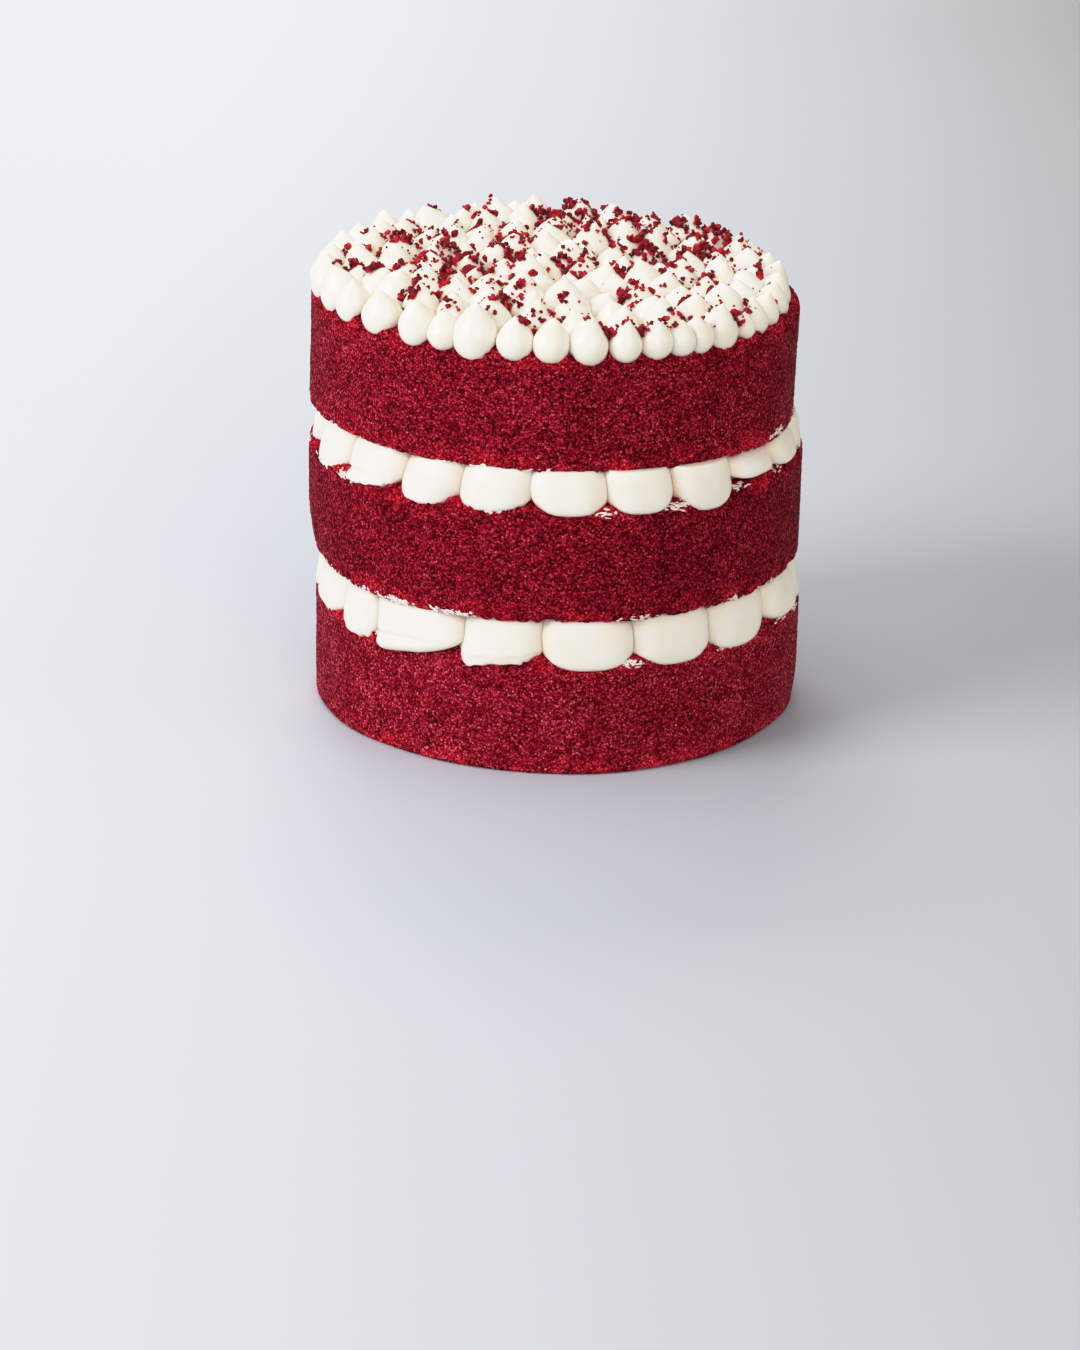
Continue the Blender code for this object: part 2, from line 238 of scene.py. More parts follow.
def add_node(tree, kind, settings=None, values=None, links=None, stops=None):
    """Adds a node. settings sets its properties, values its sockets, links joins (node, output) to sockets.

    stops fills a colour ramp with (position, hex colour).
    """
    node = tree.nodes.new(kind)
    for key, setting in (settings or {}).items():
        setattr(node, key, setting)
    for socket, value in (values or {}).items():
        node.inputs[socket].default_value = value
    for socket, (source, output) in (links or {}).items():
        tree.links.new(source.outputs[output], node.inputs[socket])
    if stops:
        elements = node.color_ramp.elements
        while len(elements) < len(stops):
            elements.new(0.5)
        for element, (position, colour) in zip(elements, stops):
            element.position = position
            element.color = linear(colour)
    return node


def new_material(name):
    """An empty Principled material: returns it with its tree, shader and object coordinates."""
    material = bpy.data.materials.new(name)
    material.use_nodes = True
    tree = material.node_tree
    shader = tree.nodes["Principled BSDF"]
    place = add_node(tree, "ShaderNodeTexCoord")
    return material, tree, shader, place


# %% [markdown]
# Red velvet sponge is a baked foam coloured deep crimson, with cocoa in it.
# Where the pan held it, the side shows packed grains about a millimetre wide, dark pits and bright specks.
# Voronoi cells the size of a grain give each grain its own shade, and slow noise spreads faint patches.
# Near each rim, patches of crumb are painted brighter and redder: painted light bounced from cream and floor.
# The bright grains are moist and shine a little, and the dark pits stay dull.

# %% Red velvet sponge
GRAIN = 0.85 * MM
WARP = 0.5 * MM
BOUNCE_BAND = 10 * MM
# Size, detail and roughness of four noises: warp, slow patches, fine crumb and spots of painted bounced light
SPONGE_NOISES = ((1.1 * MM, 2.0, 0.5), (16 * MM, 4.0, 0.5), (0.8 * MM, 5.0, 0.7), (11 * MM, 4.0, 0.5))
# How much the patches, the grains and the fine crumb add to the tone, and how much the pits take away
PATCH_SHARE, GRAIN_SHARE, FINE_SHARE = 0.22, 0.46, 0.95
PIT_EDGES = (0.35, 0.80)
PIT_DEPTHS = (0.28, 0.58)
OPEN_SPOTS = (0.46, 0.58)
# Partly painted highlight: the palest stop of each ramp paints pale pink specks as glints, beside the real
# gloss.
CRUST_TONES = [(0.12, "#26050b"), (0.34, "#620b1a"), (0.56, "#a1152d"), (0.80, "#c9354a"), (0.97, "#f4a6b0")]
# Painted light: the brighter, redder colours of the rim bands, where pale cream and floor throw light back.
BOUNCED_LIGHT_TONES = [(0.12, "#5c0a14"), (0.34, "#a41224"), (0.56, "#d42236"), (0.80, "#ea4c5c"), (0.97, "#ffb6ba")]
GLOSS_TONES = [(0.62, "#161616"), (0.86, "#a0a0a0")]
# How much brighter each sponge is made, from the bottom one up
SPONGE_SHADES = (0.08, 0.01, 0.04)


def red_velvet_sponge(layer):
    """tone = patches + shade of the grain + fine crumb - pits between the grains, each times its share.

    The cells are warped, so the grains are uneven. The tone picks the colour of the crust
    and of the painted bounced light at the rims.
    """
    material, tree, shader, place = new_material("baked_red_velvet_crumb_" + layer.name.split("_")[1])
    warp, patch, fine, bounce_patches = [
        add_node(tree, "ShaderNodeTexNoise", values={"Scale": 1 / size, "Detail": detail, "Roughness": rough},
                 links={"Vector": (place, "Object")})
        for size, detail, rough in SPONGE_NOISES
    ]
    offset = add_node(tree, "ShaderNodeVectorMath", {"operation": "MULTIPLY_ADD"}, {1: (WARP, WARP, WARP)},
                      {0: (warp, "Color"), 2: (place, "Object")})
    grain = add_node(tree, "ShaderNodeTexVoronoi", values={"Scale": 1 / GRAIN, "Randomness": 1.0},
                     links={"Vector": (offset, "Vector")})
    shade = add_node(tree, "ShaderNodeSeparateColor", links={"Color": (grain, "Color")})
    slow = add_node(tree, "ShaderNodeMath", {"operation": "MULTIPLY"}, {1: PATCH_SHARE}, {0: (patch, "Fac")})
    grainy = add_node(tree, "ShaderNodeMath", {"operation": "MULTIPLY_ADD"}, {1: GRAIN_SHARE},
                      {0: (shade, "Red"), 2: (slow, "Value")})
    level = add_node(tree, "ShaderNodeMath", {"operation": "MULTIPLY_ADD"}, {1: FINE_SHARE},
                     {0: (fine, "Fac"), 2: (grainy, "Value")})
    shallow, deep = (depth - SPONGE_SHADES[LAYERS.index(layer)] for depth in PIT_DEPTHS)
    near, far = PIT_EDGES
    pits = add_node(tree, "ShaderNodeMapRange", links={"Value": (grain, "Distance")},
                    values={"From Min": near, "From Max": far, "To Min": shallow, "To Max": deep})
    tone = add_node(tree, "ShaderNodeMath", {"operation": "SUBTRACT"}, {},
                    {0: (level, "Value"), 1: (pits, "Result")})
    crust, bounced_light, gloss = [
        add_node(tree, "ShaderNodeValToRGB", links={"Fac": (tone, "Value")}, stops=stops)
        for stops in (CRUST_TONES, BOUNCED_LIGHT_TONES, GLOSS_TONES)
    ]
    # Painted bounced light falls only in a band at each rim, and there only in the open spots of a noise.
    split = add_node(tree, "ShaderNodeSeparateXYZ", links={"Vector": (place, "Object")})
    top = layer.bottom + layer.height
    upper, lower, open_spots = [
        add_node(tree, "ShaderNodeMapRange", None, {"From Min": start, "From Max": end}, {"Value": source})
        for start, end, source in ((top - BOUNCE_BAND, top - 1 * MM, (split, "Z")),
                                   (layer.bottom + BOUNCE_BAND, layer.bottom + 1 * MM, (split, "Z")),
                                   (*OPEN_SPOTS, (bounce_patches, "Fac")))
    ]
    rims = add_node(tree, "ShaderNodeMath", {"operation": "MAXIMUM"}, {},
                    {0: (upper, "Result"), 1: (lower, "Result")})
    rim_noise = add_node(tree, "ShaderNodeMath", {"operation": "MULTIPLY"}, {},
                    {0: (rims, "Value"), 1: (open_spots, "Result")})
    # Of a colour mix, socket 0 is the factor, 6 and 7 are the two colours, and output 2 is the result.
    colour = add_node(tree, "ShaderNodeMix", {"data_type": "RGBA"}, {},
                      {0: (rim_noise, "Value"), 6: (crust, "Color"), 7: (bounced_light, "Color")})
    bump = add_node(tree, "ShaderNodeBump", values={"Strength": 1.0, "Distance": 0.45 * MM},
                    links={"Height": (tone, "Value")})
    tree.links.new(colour.outputs[2], shader.inputs["Base Color"])
    tree.links.new(bump.outputs["Normal"], shader.inputs["Normal"])
    tree.links.new(gloss.outputs["Color"], shader.inputs["Specular IOR Level"])
    shader.inputs["Roughness"].default_value = 0.45
    return material


sponge_materials = [red_velvet_sponge(layer) for layer in LAYERS]
print(len(sponge_materials), "sponge materials with grains of", GRAIN / MM, "mm")

# %% [markdown]
# Cream cheese cream is fat and sugar whipped with air: ivory white, satin, and light passes a little way in.
# Subsurface scattering gives that soft look. Where two blobs press together, painted shade darkens the cream
# to a warm tint there, mixed in by an attribute named "crease" that is set on the blobs when they are made.
# Fine noise in the bump keeps the highlights from looking like plastic.

# %% Whipped cream
ROUGHNESS_SPREAD = 0.08
SCATTER_DEPTH = 3 * MM
SCATTER_COLOURS = (1.0, 0.8, 0.5)


def whipped_cream(name, roughness, colour, depth, painted_crease_shade=None):
    """Fat cream: satin, with faint unevenness. depth is how much light goes in before it comes back.

    painted_crease_shade is painted shade, mixed in by the piece's own attribute "crease",
    which is 1 where two blobs press together.
    """
    material, tree, shader, place = new_material(name)
    cloud, skin = [
        add_node(tree, "ShaderNodeTexNoise", values={"Scale": 1 / size, "Detail": detail},
                 links={"Vector": (place, "Object")})
        for size, detail in ((9 * MM, 2.0), (1.6 * MM, 3.0))
    ]
    tint = add_node(tree, "ShaderNodeValToRGB", links={"Fac": (cloud, "Fac")},
                    stops=[(0.3, colour[0]), (0.7, colour[1])])
    bump = add_node(tree, "ShaderNodeBump", values={"Strength": 0.25, "Distance": 0.15 * MM},
                    links={"Height": (skin, "Fac")})
    rough = add_node(tree, "ShaderNodeMapRange", links={"Value": (cloud, "Fac")},
                     values={"To Min": roughness - ROUGHNESS_SPREAD, "To Max": roughness + ROUGHNESS_SPREAD})
    if painted_crease_shade:
        # Painted shade: the cream turns a darker, warmer tint where two blobs press together.
        crease = add_node(tree, "ShaderNodeAttribute", {"attribute_name": "crease"})
        crease_shaded = add_node(tree, "ShaderNodeMix", {"data_type": "RGBA"}, {7: linear(painted_crease_shade)},
                        {0: (crease, "Fac"), 6: (tint, "Color")})
        tree.links.new(crease_shaded.outputs[2], shader.inputs["Base Color"])
    else:
        tree.links.new(tint.outputs["Color"], shader.inputs["Base Color"])
    tree.links.new(bump.outputs["Normal"], shader.inputs["Normal"])
    tree.links.new(rough.outputs["Result"], shader.inputs["Roughness"])
    shader.inputs["Subsurface Weight"].default_value = depth
    shader.inputs["Subsurface Radius"].default_value = SCATTER_COLOURS
    shader.inputs["Subsurface Scale"].default_value = SCATTER_DEPTH
    return material


# The filling's last colour is painted shade for the creases between the blobs.
filling_cream = whipped_cream("cream_filling_cream", 0.38, ("#faebdb", "#fdf1e7"), 0.7, "#dabd78")
topping_cream = whipped_cream("piped_topping_cream", 0.24, ("#f9ecda", "#fcf3e8"), 0.7)
smear_cream = whipped_cream("thin_smeared_cream", 0.5, ("#f1dcd6", "#fbf0ea"), 0.0)

# %% [markdown]
# A sponge is a turned shape: its half outline runs from the top centre over a rounded rim, down the side
# and under the base. Turning it round the axis and pushing every point in or out by noise gives the crumb.
# The mesh steps are as small as the grains, so their relief is real geometry and shows in the outline.
# Two of the sponges also draw in at the foot, each on one side.

# %% Sponge surfaces
AROUND = 900
UP_STEP = 0.75 * MM
RIM_ROWS = 6
CRUMB_RELIEF = 0.38 * MM
RIM_RELIEF = 1.7
RIM_TEAR = 1.9 * MM
SURFACE_SINK = 0.35 * MM
OUTLINE_CLEAR = 0.1 * MM
# Which sponges draw in at the foot, round which angle from the front, and by how much
DRAWN_FEET = {"sponge_middle": (-90, 3.4 * MM), "sponge_bottom": (65, 2.5 * MM)}
DRAWN_FOOT_RISE = 20 * MM


def side_wobble(angle, phase):
    """Slow waves round the cake: sin(2a+p) + 0.6 sin(5a+2.3p) + 0.4 sin(11a-p), times their size."""
    return WOBBLE * (np.sin(2 * angle + phase) + 0.6 * np.sin(5 * angle + 2.3 * phase)
                     + 0.4 * np.sin(11 * angle - phase))


def sponge_outline(layer):
    """Rows of (radius, height, outward r, outward z, relief): flat top, rim, side, foot, flat base.

    Rim and foot are quarter circles: inwards by round * (1 - cos a), up or down by round * (1 - sin a).
    """
    rows = []
    for inset in (60, 25, 12, 7):
        rows.append((layer.radius - inset * MM, layer.height, 0.0, 1.0, 0.3))
    for k in range(RIM_ROWS):
        a = math.pi / 2 * (1 - k / (RIM_ROWS - 1))
        rows.append((layer.radius - layer.top_round * (1 - math.cos(a)),
                     layer.height - layer.top_round * (1 - math.sin(a)),
                     math.cos(a), math.sin(a), RIM_RELIEF))
    side = layer.height - layer.top_round - layer.bottom_round
    steps = int(side / UP_STEP)
    for k in range(1, steps):
        rows.append((layer.radius, layer.height - layer.top_round - side * k / steps, 1.0, 0.0, 1.0))
    foot_relief = RIM_RELIEF if layer.bottom else 0.5
    for k in range(RIM_ROWS):
        a = math.pi / 2 * k / (RIM_ROWS - 1)
        rows.append((layer.radius - layer.bottom_round * (1 - math.cos(a)),
                     layer.bottom_round * (1 - math.sin(a)),
                     math.cos(a), -math.sin(a), foot_relief))
    for inset in (8, 25, 60):
        rows.append((layer.radius - inset * MM, 0.0, 0.0, -1.0, 0.0))
    return np.array(rows)


def foot_inset(layer, angle, height):
    """How far the side draws in: depth * (1 - height/rise)^1.5 * cos(angle off the middle)^6."""
    middle, depth = DRAWN_FEET.get(layer.name, (0, 0.0))
    low = np.clip(1 - height / DRAWN_FOOT_RISE, 0, 1) ** 1.5
    return depth * low * np.maximum(0, np.cos(angle - math.radians(middle))) ** 6


def make_sponge(layer, seed):
    """point = outline turned round Z + outward normal * (grain relief - sink), never outside the outline.

    The pan flattened the highest grains, so cutting them off there is what happened to the real ones.
    """
    rows = sponge_outline(layer)
    angle = 2 * np.pi * np.arange(AROUND) / AROUND
    out = np.stack([np.sin(angle), -np.cos(angle)], axis=-1)
    flat_radius, relief_share = rows[:, 0, None], rows[:, 4, None]
    radius = flat_radius + np.where(flat_radius > layer.radius / 2, side_wobble(angle, layer.phase), 0)
    height = np.broadcast_to(rows[:, 1, None], radius.shape)
    radius = radius - np.where(radius > layer.radius / 2, foot_inset(layer, angle, height), 0)
    points = np.concatenate([radius[..., None] * out, height[..., None]], axis=-1)
    upwards = np.broadcast_to(rows[:, 3, None, None], (*radius.shape, 1))
    normal = np.concatenate([rows[:, 2, None, None] * out, upwards], axis=-1)
    grains = 0.55 - grain_noise(points, 2.0 * MM, seed)
    fine = value_noise(points, 0.9 * MM, seed + 7)
    lumps = value_noise(points, 6 * MM, seed + 9)
    relief = CRUMB_RELIEF * (1.1 * grains + 0.55 * fine + 0.5 * lumps)
    rim_noise = RIM_TEAR * (value_noise(points, 3.0 * MM, seed + 13)
                       + 0.6 * value_noise(points, 1.4 * MM, seed + 17))
    shift = relief_share * (relief - SURFACE_SINK) + np.maximum(0, relief_share - 1) * rim_noise
    points = points + normal * np.minimum(-OUTLINE_CLEAR * rows[:, 2, None], shift)[..., None]
    top = np.array([[0.0, 0.0, layer.height]])
    bottom = np.array([[0.0, 0.0, 0.0]])
    points, top, bottom = (moved(seat(layer), part) for part in (points, top, bottom))
    piece = add_closed(layer.name + "_crumb", points[None], top, bottom)
    piece.data.materials.append(sponge_materials[LAYERS.index(layer)])
    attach(piece, "root")
    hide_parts(layer.name)
    return piece


sponges = [make_sponge(layer, 40 + 11 * k) for k, layer in enumerate(LAYERS)]

# %% [markdown]
# The fillings were piped with a large round nozzle: one blob of cream beside the other, all round the edge.
# Then the next sponge pressed them flat on top, and their lower lips swelled over the rim below.
# A blob is a globe whose coordinates are raised to a power below one, which makes it boxier,
# then cut level under the sponge and swollen low down at the front.

# %% Filling blobs
Filling = namedtuple("Filling", "name below above radius shift creases tapers lifts blobs_behind seed")
LOWER_FILLING = Filling(
    "filling_lower", BOTTOM_SPONGE, MIDDLE_SPONGE, 0.1018, (0.0, -0.0026),
    (-82.5, -61.8, -47.6, -23.5, -2.9, 18.0, 39.2, 60.4, 81.0),
    (0, 0, 0.5, 0.4, 0, 0, 0, 0), (2.5, 0, -2.0, -2.0, 1.0, 0.5, 1.0, 3.5), 9, 5)
UPPER_FILLING = Filling(
    "filling_upper", MIDDLE_SPONGE, TOP_SPONGE, 0.1014, (-0.0013, -0.0034),
    (-78.0, -59.4, -39.8, -23.0, -6.0, 11.7, 28.7, 46.6, 63.9, 82.0),
    (0, 0.2, 0, 0.3, 0, 0, 0, 0, 0), (-1.5, 1.0, 1.5, 0, 2.5, 2.0, 0.5, 8.0, 6.0), 11, 8)
BLOB_DEPTH = 0.0105
BLOB_UNEVEN = 0.0004
BLOB_BULGE = 0.0038
BLOB_ROUND = 0.0048
BLOB_BOXINESS = (0.80, 0.46, 0.82)
BLOB_HANG = 0.0070
BLOB_TOP = 0.0010
BLOB_JITTER = 1.2
FILLING_CORE_INSET = 0.0085
BLOB_ROWS = 48
BLOB_COLUMNS = 64
BLOB_LEAN = 0.10
BLOB_SWING = 0.5 * MM
BLOB_SINK = 0.4 * MM
CREASE_SHARPNESS = 10
CORE_COLUMNS = 96
# Some blobs in front have a lip that folded as the bag was pulled away, a square corner or a creased foot.
FOLDED_BLOBS = (("filling_lower", 2), ("filling_upper", 1))
SQUARE_BLOBS = (("filling_lower", 2), ("filling_lower", 3))
CREASED_BLOBS = (("filling_lower", 1), ("filling_lower", 3), ("filling_upper", 1), ("filling_upper", 3))

# %% [markdown]
# The shape of a blob is worked out on the points of a unit globe, as x to the side, y outwards and z up.
# Folds, corners and creases are pushes that grow from nothing by a smooth rule, so they leave no edge.

# %% The shape of one blob
def spot_on_ring(radius, angle):
    """The point of a ring about Z at this angle from the front: (r sin a, -r cos a, 0)."""
    return Vector((radius * math.sin(math.radians(angle)), -radius * math.cos(math.radians(angle)), 0.0))


def globe(rows, columns):
    """Unit sphere rings: (sin p cos t, sin p sin t, cos p), with p from the top pole down and t round."""
    polar = np.pi * np.arange(1, rows + 1) / (rows + 1)
    turn = 2 * np.pi * np.arange(columns) / columns
    flat = np.sin(polar)[:, None]
    up = np.broadcast_to(np.cos(polar)[:, None], (rows, columns))
    return np.stack([flat * np.cos(turn), flat * np.sin(turn), up], axis=-1)


POLES = np.array([[0.0, 0.0, 1.0], [0.0, 0.0, -1.0]])


def blob_points(unit, half_width, half_height, taper):
    """(w |x|^a, d |y|^b - bulge z - round |x|^3, h |z|^c), signs kept, where a, b, c are the boxiness.

    Below the middle, heights shrink by taper at the left end and not at all at the right, seen from inside.
    """
    boxy = np.sign(unit) * np.abs(unit) ** np.array(BLOB_BOXINESS)
    boxy[..., 2] *= np.where(boxy[..., 2] < 0, 1 + taper * (unit[..., 0] - 1) / 2, 1)
    points = boxy * np.array([half_width, BLOB_DEPTH, half_height])
    points[..., 1] -= BLOB_BULGE * unit[..., 2] + BLOB_ROUND * np.abs(unit[..., 0]) ** 3
    return points


def folded(points, unit):
    """Pushes the lower lip out by a smooth step of -z and cuts a narrow groove above it, where x > 0."""
    lip = 1 / (1 + np.exp((unit[..., 2] + 0.52) * 30))
    groove = np.exp(-((unit[..., 2] + 0.44) / 0.07) ** 2)
    side = 1 / (1 + np.exp(-(unit[..., 0] + 0.1) * 14))
    out = side * np.maximum(0, unit[..., 1]) ** 0.5 * (1.9 * lip - 1.5 * groove) * MM
    return points + out[..., None] * np.array([0.25, 1.0, -0.35])


def squared(points, unit):
    """Draws out the lower corner where x > 0 by the square of x times -z, which is largest half way round."""
    corner = (2 * np.maximum(0, unit[..., 0]) * np.maximum(0, -unit[..., 2])) ** 2
    return points + corner[..., None] * np.array([1.8, 0.6, -2.2]) * MM


def creased(points, unit, seed):
    """Fine level folds in the lower half: noise stretched four times along the edge, fading out upwards."""
    low = np.clip(-unit[..., 2] + 0.1, 0, 1)
    folds = (value_noise(unit * np.array([1, 1, 4]), 0.5, seed)
             + 0.5 * value_noise(unit * np.array([3, 1, 6]), 0.4, seed))
    ragged = value_noise(unit * np.array([5, 1, 1]), 0.4, seed + 1)
    return points + (low * MM)[..., None] * np.stack([0.4 * ragged, 1.0 * folds, 0.9 * ragged], axis=-1)


# %% [markdown]
# The blobs in front stand where the real ones do, and those behind share the rest of the edge evenly.
# Both fillings are made by the same code, and a flat disc of cream fills the middle inside the blobs.

# %% Both fillings
def blob_places(filling):
    """Yields (angle, half width, reach, taper, hang) of each blob, drawn in the order used for the solids."""
    draw = random.Random(filling.seed)
    creases = filling.creases
    share = (360.0 - creases[-1] + creases[0]) / filling.blobs_behind
    spans = [((before + after) / 2, (after - before) / 2) for before, after in zip(creases, creases[1:])]
    spans += [(creases[-1] + share * (k + 0.5), share / 2) for k in range(filling.blobs_behind)]
    for number, (angle, half_angle) in enumerate(spans):
        seen = number < len(filling.tapers)
        if not seen:
            angle += draw.uniform(-BLOB_JITTER, BLOB_JITTER)
        half_width = math.radians(half_angle) * filling.radius * draw.uniform(1.04, 1.10)
        reach = filling.radius + draw.uniform(-BLOB_UNEVEN, BLOB_UNEVEN)
        taper, lift = (filling.tapers[number], filling.lifts[number]) if seen else (0.0, 0.0)
        yield angle, half_width, reach, taper, BLOB_HANG - lift * MM


def underside(layer, x):
    """Height of a tilted layer's underside: bottom - tan(tilt) * (x - shift)."""
    return layer.bottom - math.tan(math.radians(layer.tilt)) * (x - layer.shift)


def filling_blobs(filling, floor):
    """Each blob leans, swings and swells by its own small random amounts, and is cut level at the top."""
    above = filling.above
    centre = Vector((*filling.shift, (floor + above.bottom) / 2))
    unit = globe(BLOB_ROWS, BLOB_COLUMNS)
    rng = np.random.default_rng(filling.seed)
    shapes, ends = [], []
    for number, (angle, half_width, reach, taper, hang) in enumerate(blob_places(filling)):
        place = centre + spot_on_ring(reach - BLOB_DEPTH, angle)
        lean, swing = rng.normal(0, BLOB_LEAN), rng.normal(0, BLOB_SWING)
        turn = Matrix.Translation(place) @ Matrix.Rotation(math.radians(angle + 180), 4, "Z")
        for part, made in ((unit, shapes), (POLES, ends)):
            points = blob_points(part, half_width, (above.bottom - floor) / 2 + hang, taper)
            swell = value_noise(part, 0.9, 100 * filling.seed + number)
            dents = value_noise(part, 0.35, 300 * filling.seed + number)
            points = points * (1 + 0.05 * swell + 0.012 * dents)[..., None]
            points[..., 0] += lean * points[..., 2]
            points[..., 1] += swing * part[..., 0] - BLOB_SINK
            if (filling.name, number) in SQUARE_BLOBS:
                points = squared(points, part)
            if (filling.name, number) in CREASED_BLOBS:
                points = creased(points, part, 500 * filling.seed + number)
            if (filling.name, number) in FOLDED_BLOBS:
                points = folded(points, part)
            points = moved(turn, points)
            points[..., 2] = np.minimum(points[..., 2], underside(above, points[..., 0]) + BLOB_TOP)
            made.append(points)
    ends = np.array(ends)
    piece = add_closed(filling.name + "_blobs", np.array(shapes), ends[:, 0], ends[:, 1])
    # The attribute "crease" masks the painted shade: 1 at the sides of each blob, where it presses on the
    # next.
    near_crease = np.concatenate([[0.0], (np.abs(unit[..., 0]) ** CREASE_SHARPNESS).reshape(-1), [0.0]])
    crease = piece.data.attributes.new("crease", "FLOAT", "POINT")
    crease.data.foreach_set("value", np.tile(near_crease, len(shapes)).astype(np.float32))
    return piece


def filling_core(filling, floor):
    """Two rings: a level one on the sponge below, and one up at the underside of the sponge above."""
    turn = 2 * np.pi * np.arange(CORE_COLUMNS) / CORE_COLUMNS
    circle = np.stack([np.sin(turn), -np.cos(turn), np.zeros(CORE_COLUMNS)], axis=-1)
    base = (filling.radius - FILLING_CORE_INSET) * circle + np.array([*filling.shift, floor])
    lid = base.copy()
    lid[:, 2] = underside(filling.above, lid[:, 0])
    return add_closed(filling.name + "_core", np.array([[lid, base]]), lid.mean(0)[None], base.mean(0)[None],
                      smooth=False)


for filling in (LOWER_FILLING, UPPER_FILLING):
    floor = filling.below.bottom + filling.below.height
    for piece in (filling_blobs(filling, floor), filling_core(filling, floor)):
        piece.data.materials.append(filling_cream)
        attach(piece, "root")
        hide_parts(filling.name)

# %% [markdown]
# Piping leaves traces: thin cream is smeared along the edges of the sponges, broken up by the rough crumb.
# A smear is a row of small flat flakes. Each is aimed at the cake from outside by a ray,
# so it lands on the crumb wherever the relief puts it, and is then laid flat against it.

# %% Cream smeared on the crumb
Smear = namedtuple("Smear", "layer height start end flakes")
SMEARS = (
    Smear(1, 0.0015, -74, -20, 260), Smear(1, 0.0012, 8, 24, 20), Smear(1, 0.0012, 42, 78, 60),
    Smear(1, 0.0462, -70, -38, 70), Smear(1, 0.0466, 2, 16, 40), Smear(1, 0.0468, 24, 46, 70),
    Smear(1, 0.0487, 46, 92, 130), Smear(1, 0.0465, 100, 280, 220), Smear(1, 0.0015, 100, 270, 160),
    Smear(0, 0.0480, -74, -44, 110), Smear(0, 0.0472, -8, 30, 70), Smear(0, 0.0476, 36, 80, 80),
    Smear(0, 0.0478, 100, 270, 160), Smear(2, 0.0010, -30, 10, 40), Smear(2, 0.0010, 60, 110, 50),
)
FLAKE_SPREAD = 0.7 * MM
FLAKE_SINK = 0.12 * MM
# Length, height and thickness of a flake in millimetres
FLAKE_LENGTHS = (0.7, 2.4)
FLAKE_HEIGHTS = (0.3, 0.8)
FLAKE_THICKNESS = 0.2
AIM_FROM = 0.14


def make_smears():
    """Flakes: squashed globes, stretched along the edge, each point pushed in or out at random."""
    rng = np.random.default_rng(31)
    targets = [BVHTree.FromObject(piece, bpy.context.evaluated_depsgraph_get()) for piece in sponges]
    unit = globe(3, 6)
    shapes, ends = [], []
    for smear in SMEARS:
        layer = LAYERS[smear.layer]
        middles = rng.uniform(smear.start, smear.end, max(3, smear.flakes // 20))
        for _ in range(smear.flakes):
            angle = float(rng.choice(middles) + rng.normal(0, 1.6))
            height = layer.bottom + smear.height + rng.normal(0, FLAKE_SPREAD)
            outwards = spot_on_ring(1.0, angle)
            start = outwards * AIM_FROM + Vector((layer.shift, 0.0, height))
            hit = targets[smear.layer].ray_cast(start, -outwards)[0]
            if hit is None:
                continue
            size = np.array([rng.uniform(*FLAKE_LENGTHS), rng.uniform(*FLAKE_HEIGHTS), FLAKE_THICKNESS]) * MM
            turn = outwards.to_track_quat("Z", "Y").to_matrix().to_4x4()
            hit -= outwards * FLAKE_SINK
            matrix = Matrix.Translation(hit) @ turn @ Matrix.Rotation(rng.normal(0, 0.25), 4, "Z")
            body = unit * size * rng.uniform(0.7, 1.2, unit.shape[:2])[..., None]
            shapes.append(moved(matrix, body))
            ends.append(moved(matrix, POLES * size))
    ends = np.array(ends)
    piece = add_closed("smeared_cream", np.array(shapes), ends[:, 0], ends[:, 1])
    piece.data.materials.append(smear_cream)
    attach(piece, "root")


make_smears()

# %% [markdown]
# The top was piped with a small round nozzle, drop beside drop, from the rim to the middle.
# A drop has a round foot, its belly low down and a tip that is drawn out as the nozzle lifts away.
# Its outline is a quarter ellipse below and (1-t*t)^k above, where k sharpens the tip.
# The rule and the seed that placed the solids place these drops too.

# %% Where the drops stand
RIM_DROPS = (
    (-79.5, 15.6), (-68.5, 17.3), (-59.5, 15.2), (-47.8, 16.9), (-35.3, 15.8), (-27.5, 14.5), (-20, 19.4),
    (-9.5, 15.8), (-0.8, 15.8), (8.0, 16.5), (17.0, 14.2), (25.0, 14.3), (31.5, 13.4), (37.0, 14.3),
    (44.3, 17.0), (52.5, 9.5), (58.5, 14.5), (66.5, 14.2), (75.5, 14.8),
)
BACK_RIM_DROPS = 20
BACK_RIM_START = 85.0
BACK_RIM_END = 271.0
RIM_REACH = 0.0005
RIM_RISE = 0.0014
# On the right the ring of drops was drawn in by up to this much.
RIM_DRAWN_IN = 0.0040
# The ring of drops was piped a little towards the front of the sponge.
RIM_SHIFT = (-0.0006, -0.0023)
RIM_LEAN = 12.0
INNER_RINGS = ((0.0810, 30, 0.0182), (0.0670, 25, 0.0182), (0.0530, 20, 0.0186),
               (0.0395, 15, 0.0182), (0.0260, 10, 0.0178), (0.0130, 4, 0.0182))
INNER_RISE = 0.0030
DROP_SEED = 21
DROP_BELLY = 0.40
CREAM_BED_RADIUS = 0.0900
CREAM_BED_DEPTH = 0.0025
Drop = namedtuple("Drop", "place width height axis lean on_rim")


